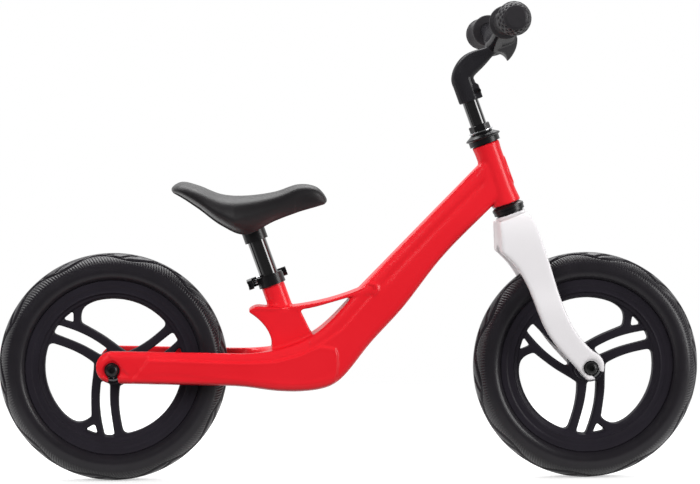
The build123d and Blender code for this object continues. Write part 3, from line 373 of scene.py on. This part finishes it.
# The rims: hub, spokes and ring in one moulding of black nylon, faintly grained.
# The bearings are pressed into the hub, and a shallow channel runs round each side of the ring.
def wheel_nylon_detail(place):
    tint = speckle(place, 40)
    return {
        "Base Color": two_tone(tint, plain_colour(33, 30, 36), plain_colour(39, 36, 43)),
        "Roughness": speckle(place, 300) * 0.12 + 0.4,
        "Normal": relief(speckle(place, 1600), 0.0002, 0.35),
    }


def rim_mould(points, normals):
    """The rim's points moved by the shallow channel of 1.8 mm round each side of its ring."""
    hand = np.sign(points[:, 1])
    facing = ramp_between(normals[:, 1] * hand, 0.3, 0.75)
    radius = np.hypot(np.abs(points[:, 0]) - front_axle_x, points[:, 2] - axle_z)
    channel = ramp_between(radius, 99.5, 101.5) * (1 - ramp_between(radius, 107, 108.8))
    points[:, 1] -= hand * facing * 1.8 * channel
    return points


nylon_shine = {"Specular IOR Level": 0.0, "Coat Weight": 0.25, "Coat Roughness": 0.35}
wheel_nylon = finish_on("wheel_nylon", nylon_shine, wheel_nylon_detail)
for end in ("rear", "front"):
    rim_moulding = softened(end + "_rim_moulding", end + "_rim", 0.0014, 3, rim_mould)
    rim_moulding.data.materials.append(wheel_nylon)


# The tyres: solid foam rubber, moulded with its tread and stretched over the key of the rim.
# The tread repeats ten times round: a long swoop groove, fine ribs outside it and slots inside.
def skin(name, points, round_rows):
    """A closed surface over a grid of points in millimetres, whose columns go round and join up.

    The last row joins the first where round_rows is true. Otherwise the end rows have shrunk to a point.
    """
    rows, columns = points.shape[:2]
    number = np.arange(rows * columns).reshape(rows, columns)
    ahead = np.roll(number, -1, axis=1)
    if round_rows:
        corners = (number, ahead, np.roll(ahead, -1, axis=0), np.roll(number, -1, axis=0))
    else:
        corners = (number[:-1], ahead[:-1], ahead[1:], number[1:])
    faces = np.stack(corners, -1).reshape(-1, 4)
    mesh = bpy.data.meshes.new(name)
    mesh.from_pydata(points.reshape(-1, 3) / 1000, [], faces.tolist())
    shell = bmesh.new()
    shell.from_mesh(mesh)
    bmesh.ops.remove_doubles(shell, verts=shell.verts, dist=0.000001)
    bmesh.ops.recalc_face_normals(shell, faces=shell.faces)
    shell.to_mesh(mesh)
    shell.free()
    mesh.polygons.foreach_set("use_smooth", np.ones(len(mesh.polygons), bool))
    piece = bpy.data.objects.new(name, mesh)
    bpy.context.scene.collection.objects.link(piece)
    return piece


def tread_depth(turn, across):
    """How deep the tread is cut, in millimetres, by the angle round and the place across.

    The place is 0 at the crown and 1 at the shoulder. A groove swings with ten waves round, opposite on the
    two sides. Outside it lie fine slanted ribs, 240 round, and inside it short slots, 30 round.
    """
    side = np.abs(across)
    swing = 10 * turn + np.where(across > 0, np.pi, 0)
    groove = 0.62 + 0.26 * np.sin(swing)
    ribs = 0.5 + 0.5 * np.sin(240 * turn + 12 * across)
    rib_zone = ramp_between(side, groove + 0.06, groove + 0.14) * (1 - ramp_between(side, 1.08, 1.2))
    slots = ramp_between(np.sin(30 * turn - 7 * across), 0.4, 0.7)
    slot_zone = ramp_between(side, 0.2, 0.26) * (1 - ramp_between(side, groove - 0.16, groove - 0.08))
    return 2.4 * bell(side - groove, 0.07) + 1.2 * ribs * rib_zone + 1.5 * slots * slot_zone


def tyre_foam_detail(place):
    tint = speckle(place, 50)
    return {
        "Base Color": two_tone(tint, plain_colour(28, 26, 30), plain_colour(35, 32, 37)),
        "Roughness": speckle(place, 260) * 0.12 + 0.26,
        "Normal": relief(speckle(place, 2000), 0.0002, 0.3),
    }


tyre_foam = finish_on("tyre_foam", {"Specular IOR Level": 0.35}, tyre_foam_detail)
wall = np.array([(18, 117.03), (23.4, 122.6), (25, 131), (19, 143.4), (0, 152.38)])
tyre_line = np.concatenate((wall, wall[-2::-1] * (-1, 1)))
steps = np.concatenate((np.linspace(0, 2, 9), np.linspace(2, 3, 8)[1:], np.linspace(3, 4, 20)[1:]))
outside = smooth_through(tyre_line, np.concatenate((steps, 8 - steps[-2::-1])))
slope = np.gradient(outside, axis=0)
outward = np.stack((slope[:, 1], -slope[:, 0]), -1)
outward /= np.linalg.norm(outward, axis=1, keepdims=True)
tyre_columns = 1200
turn = np.linspace(0, 2 * np.pi, tyre_columns, endpoint=False)
shoulder, tread_from, off_the_tread = 19, 137, 2
depth = tread_depth(turn, np.where(outside[:, 1:] < tread_from, off_the_tread, outside[:, :1] / shoulder))
key_groove = np.array([(-8.1, 117.03), (-6.1, 121.1), (6.1, 121.1), (8.1, 117.03)])
key_across, key_radius = (np.tile(key_groove[:, k : k + 1], (1, tyre_columns)) for k in (0, 1))
across = np.concatenate((outside[:, :1] - outward[:, :1] * depth, key_across))
radius = np.concatenate((outside[:, 1:] - outward[:, 1:] * depth, key_radius))
for end, axle_x in (("rear", rear_axle_x), ("front", front_axle_x)):
    ring = np.stack((axle_x + radius * np.sin(turn), across, axle_z + radius * np.cos(turn)), -1)
    tyre = skin(end + "_tyre_moulding", ring, True)
    tyre.data.materials.append(tyre_foam)
    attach(tyre, end + "_wheel")
    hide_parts(end + "_tyre")


# The handlebar: one casting of neck, arms and centre shield, with a satin black powder coat.
# The neck slides on the steerer, and a bolt and nut clamp it there.
def black_casting_detail(place):
    tint = speckle(place, 60)
    return {
        "Base Color": two_tone(tint, plain_colour(34, 33, 36), plain_colour(41, 40, 43)),
        "Roughness": speckle(place, 240) * 0.12 + 0.34,
        "Normal": relief(speckle(place, 1400), 0.0002, 0.3),
    }


casting_shine = {"Specular IOR Level": 0.0, "Coat Weight": 0.3, "Coat Roughness": 0.15}
black_casting = finish_on("black_casting", casting_shine, black_casting_detail)
handlebar_casting = softened("handlebar_casting", "handlebar", 0.0013, 14)
handlebar_casting.data.materials.append(black_casting)


# The grips: moulded rubber sleeves pushed on the ends of the bar.
# Each has a flange, sunk bands for the fingers, and a round knob with four rings of hollows.
def grip_rubber_detail(place):
    tint = speckle(place, 120)
    return {
        "Base Color": two_tone(tint, plain_colour(44, 43, 45), plain_colour(52, 50, 53)),
        "Roughness": speckle(place, 400) * 0.15 + 0.5,
        "Normal": relief(speckle(place, 2400), 0.0002, 0.3),
    }


grip_shine = {"Specular IOR Level": 0.0, "Coat Weight": 0.4, "Coat Roughness": 0.3}
grip_rubber = finish_on("grip_rubber", grip_shine, grip_rubber_detail)
grip_line = np.array([
    (101.1, 11.15), (101.1, 20), (102, 21.3), (104, 22), (106, 21.3), (107.2, 19.6), (108.5, 16.6),
    (111, 15), (176, 15), (181, 17.3), (186, 20), (190, 21.6), (194, 22), (199, 21), (203, 19.4),
    (208, 18.2), (212, 16.9), (214.6, 14.8), (216, 12), (216, 0),
])
reach = np.concatenate(((0,), np.cumsum(np.linalg.norm(np.diff(grip_line, axis=0), axis=1))))
along = np.linspace(0, reach[-1], 320)
sleeve = np.stack([np.interp(along, reach, grip_line[:, k]) for k in (0, 1)], -1)
bore = np.array([(206.2, 0), (206.2, 11.15)])
grip_columns = 180
turn = np.linspace(0, 2 * np.pi, grip_columns, endpoint=False)
bands = 0.6 * bell((sleeve[:, 0] - 112) % 9 - 4.5, 0.9) * (sleeve[:, 0] > 112) * (sleeve[:, 0] < 175)
lines = 0.25 * (0.5 + 0.5 * np.cos(sleeve[:, 1] * 2 * np.pi / 1.6)) * (sleeve[:, 0] > 215.5)
dents = np.zeros((len(sleeve), grip_columns))
for ring, shift in ((191, 0), (198.5, 0.5), (205.5, 0), (211.5, 0.5)):
    close = along[:, None] - np.interp(ring, grip_line[:18, 0], reach[:18])
    spread = (turn * 8 / np.pi + shift) % 1 - 0.5
    dents += 3.6 * bell(close, 1.9) ** 2 * bell(spread, 0.3) ** 2
slope = np.gradient(sleeve, axis=0)
outward = np.stack((-slope[:, 1], slope[:, 0]), -1)
outward /= np.linalg.norm(outward, axis=1, keepdims=True) + 1e-9
cut = dents + bands[:, None] + lines[:, None]
bore_away, bore_radius = (np.tile(bore[:, k : k + 1], (1, grip_columns)) for k in (0, 1))
away = np.concatenate((bore_away, sleeve[:, :1] - outward[:, :1] * cut))
radius = np.concatenate((bore_radius, np.maximum(sleeve[:, 1:] - outward[:, 1:] * cut, 0)))
for name, hand in (("right_grip", -1), ("left_grip", 1)):
    low, high = (np.array(corner) * 1000 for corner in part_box(name))
    middle = (low + high) / 2
    tube = np.stack((middle[0] + radius * np.sin(turn), hand * away, middle[2] + radius * np.cos(turn)), -1)
    grip = skin(name + "_moulding", tube, False)
    grip.data.materials.append(grip_rubber)
    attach(grip, "handlebar")
    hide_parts(name)


# The saddle: moulded foam with its own grained skin, a wide back, a dip and a raised nose.
# It is hollow below, where the nylon pan that holds the post is pressed in.
def saddle_skin_detail(place):
    tint = speckle(place, 60)
    return {
        "Base Color": two_tone(tint, plain_colour(24, 22, 24), plain_colour(30, 28, 30)),
        "Roughness": speckle(place, 300) * 0.12 + 0.42,
        "Normal": relief(speckle(place, 1500), 0.0003, 0.3),
    }


saddle_shine = {"Specular IOR Level": 0.2, "Coat Weight": 0.3, "Coat Roughness": 0.45}
saddle_skin = finish_on("saddle_skin", saddle_shine, saddle_skin_detail)
saddle_x, saddle_z = -132.91, 339.76
stations = smooth_through(
    (
        (-107, 30, 53.6, 46.5),
        (-92, 50, 60.1, 38.5),
        (-70, 59, 55.1, 24),
        (-40, 54, 43.6, 2),
        (-8, 43, 41.6, -10),
        (30, 32, 46.6, 7.5),
        (62, 25, 56.6, 19.5),
        (86, 19, 53.6, 26.5),
        (101, 9, 39.5, 31),
    ),
    np.linspace(0, 8, 240),
)
ahead, half, crown, low = stations.T
end_share = np.clip(np.minimum(ahead + 107, 101 - ahead) / 5, 0, 1)
end_round = np.sqrt(1 - (1 - end_share) ** 2)
centre = (crown + low) / 2
half = half * end_round
crown = centre + (crown - centre) * end_round
low = centre + (low - centre) * end_round
drop = np.minimum(half, crown - low) * 0.66
in_pocket = ramp_between(ahead, -62.5, -60.2) * (1 - ramp_between(ahead, 56.2, 58.5))
foot = half * 0.45 + 6 * end_round + in_pocket
side_line = [
    (half * 0.4, crown - drop * 0.07),
    (half * 0.78, crown - drop * 0.3),
    (half * 0.95, crown - drop * 0.6),
    (half, crown - drop),
    ((half + foot) / 2 + half * 0.05, (crown - drop + low) / 2),
    (foot + 0.8 * end_round, low + 2.5 * end_round),
    (foot - 1.2 * end_round, low),
]
left_line = [(-out, up) for out, up in side_line]
over = np.array([*left_line[::-1], (0 * half, crown), *side_line])
over = smooth_through(np.moveaxis(over, 1, 2), np.linspace(0, 14, 113))
inner = np.minimum(17.2, foot - 1.6 * end_round)
ceiling = low + (30 + (ahead + 2) * 0.069 - low) * in_pocket
under = np.array([(inner, low), (inner, ceiling), (0 * half, ceiling), (-inner, ceiling), (-inner, low)])
section = np.concatenate((over, np.moveaxis(under, 1, 2)))
lengthways = np.broadcast_to(saddle_x + ahead, section.shape[:2])
saddle_grid = np.stack((lengthways, section[..., 0], saddle_z + section[..., 1]), -1)
saddle = skin("saddle_foam", np.moveaxis(saddle_grid, 0, 1), False)
saddle.data.materials.append(saddle_skin)
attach(saddle, "seat")
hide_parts("saddle_cover")


# The saddle's base and the plug of the post: moulded black nylon with a fine grain.
# The base is pressed into the foam from below, and the saddle's clamp holds it on the post.
def black_nylon_detail(place):
    tint = speckle(place, 80)
    return {
        "Base Color": two_tone(tint, plain_colour(24, 23, 25), plain_colour(32, 31, 33)),
        "Roughness": speckle(place, 300) * 0.12 + 0.45,
        "Normal": relief(speckle(place, 1500), 0.0002, 0.3),
    }


black_nylon = finish_on("black_nylon", {}, black_nylon_detail)
dress(black_nylon, "saddle_base", "seat_post_plug")


# The floor: a pale sheet of paper, white to the camera but for the soft shadow under the wheels.
# To mirrored rays it darkens towards the camera, so that the gloss tubes keep their depth.
floor_mesh = bpy.data.meshes.new("floor")
floor_mesh.from_pydata([(-9, -6, 0), (9, -6, 0), (9, 14, 0), (-9, 14, 0)], [], [(0, 1, 2, 3)])
floor = bpy.data.objects.new("floor", floor_mesh)
bpy.context.scene.collection.objects.link(floor)
paper = bpy.data.materials.new("paper")
paper.use_nodes = True
floor_mesh.materials.append(paper)
paper.node_tree.nodes.remove(paper.node_tree.nodes["Principled BSDF"])
sheet = Shade(paper.node_tree)
lit = sheet.node("BsdfDiffuse", {}, {"Color": (0.82, 0.82, 0.82, 1)})
bounce = sheet.node("BsdfDiffuse", {}, {"Color": (0.15, 0.15, 0.15, 1)})
fill = sheet.node("Emission", {}, {"Color": (1, 1, 1, 1), "Strength": 0.42})
near = sheet.node("AddShader", {}, {0: lit, 1: fill})
white = sheet.node("Emission", {}, {"Color": (1, 1, 1, 1), "Strength": 1.0})
spot = sheet.node("TexCoord", {}, {}, "Object")
away = sheet.node("VectorMath", {"operation": "LENGTH"}, {0: spot}, "Value")
fade = sheet.node("MapRange", {"interpolation_type": "SMOOTHSTEP"}, {0: away, 1: 0.6, 2: 1.3})
shown_floor = sheet.node("MixShader", {}, {0: fade, 1: near, 2: white})
to_camera = sheet.node("LightPath", {}, {}, "Is Camera Ray")
glossy = sheet.node("LightPath", {}, {}, "Is Glossy Ray")
through = sheet.node("LightPath", {}, {}, "Is Transmission Ray")
seen = to_camera + glossy + through
depth = sheet.node("SeparateXYZ", {}, {"Vector": spot}, "Y")
nearer = sheet.node("MapRange", {"interpolation_type": "SMOOTHSTEP"}, {0: depth, 1: 0.3, 2: -0.7})
dim = sheet.node("Emission", {}, {"Color": (1, 1, 1, 1), "Strength": 0.12})
shown_floor = sheet.node("MixShader", {}, {0: nearer * glossy, 1: shown_floor, 2: dim})
paper_look = sheet.node("MixShader", {}, {0: seen, 1: bounce, 2: shown_floor})
paper.node_tree.links.new(paper_look.socket, paper.node_tree.nodes["Material Output"].inputs["Surface"])

# The light: an even white room, which is darker in front of the bike to mirrored rays.
# A broad lamp stands above and behind, one at the front left, and a tall one at the right.
# The front left lamp isn't mirrored, so that it lights the sides without a highlight.
world = bpy.data.worlds.new("room")
bpy.context.scene.world = world
world.use_nodes = True
room = Shade(world.node_tree)
ambient = 0.58
way = room.node("TexCoord", {}, {}, "Generated")
depth_way = room.node("SeparateXYZ", {}, {"Vector": way}, "Y")
ease = {"interpolation_type": "SMOOTHSTEP"}
backdrop = room.node("MapRange", ease, {0: depth_way, 1: 0.0, 2: 0.6, 3: 0.1, 4: 1.0})
to_camera = room.node("LightPath", {}, {}, "Is Camera Ray")
shown = to_camera + room.node("LightPath", {}, {}, "Is Transmission Ray")
mirrored = room.node("LightPath", {}, {}, "Is Glossy Ray")
level = ambient + shown * (1 - ambient) + mirrored * (backdrop - ambient)
background = world.node_tree.nodes["Background"]
background.inputs["Color"].default_value = (1, 1, 1, 1)
world.node_tree.links.new(level.socket, background.inputs["Strength"])

for name, place, aim, size, power, mirrored_too in (
    ("back_lamp", (-0.3, 0.9, 2.0), (0, 0, 0.3), (2.8, 1.0), 44, True),
    ("front_lamp", (-1.5, -2.1, 1.5), (-0.25, 0, 0.15), (1.6, 1.2), 46, False),
    ("side_lamp", (2.4, -1.1, 0.9), (0, 0, 0.4), (0.9, 1.8), 40, True),
):
    lamp = bpy.data.lights.new(name, "AREA")
    lamp.shape = "RECTANGLE"
    lamp.size, lamp.size_y = size
    lamp.energy = power
    lamp_object = bpy.data.objects.new(name, lamp)
    lamp_object.visible_glossy = mirrored_too
    bpy.context.scene.collection.objects.link(lamp_object)
    away = np.array(place) - np.array(aim)
    away = away / np.linalg.norm(away)
    across = np.cross((0, 0, 1), away)
    across = across / np.linalg.norm(across)
    turn = np.eye(4)
    turn[:3, 0], turn[:3, 1], turn[:3, 2], turn[:3, 3] = across, np.cross(away, across), away, place
    lamp_object.matrix_world = turn.T.tolist()

# The camera: low and square to the side of the bike, turned a little towards its front.
# Its place and lens were fitted to the tyres, the axle bolts and the grips.
yaw, pitch = 0.05, 0.038
forward = np.array((np.sin(yaw) * np.cos(pitch), np.cos(yaw) * np.cos(pitch), -np.sin(pitch)))
right = np.array((np.cos(yaw), -np.sin(yaw), 0))
eye = np.eye(4)
eye[:3, 0], eye[:3, 1], eye[:3, 2] = right, np.cross(right, forward), -forward
eye[:3, 3] = (-0.15708, -3.11998, 0.43752)
camera = bpy.data.cameras.new("camera")
camera.sensor_width = 36
camera.lens = 119.73
camera_object = bpy.data.objects.new("camera", camera)
bpy.context.scene.collection.objects.link(camera_object)
camera_object.matrix_world = eye.T.tolist()
bpy.context.scene.camera = camera_object
bpy.context.scene.view_settings.view_transform = "Standard"
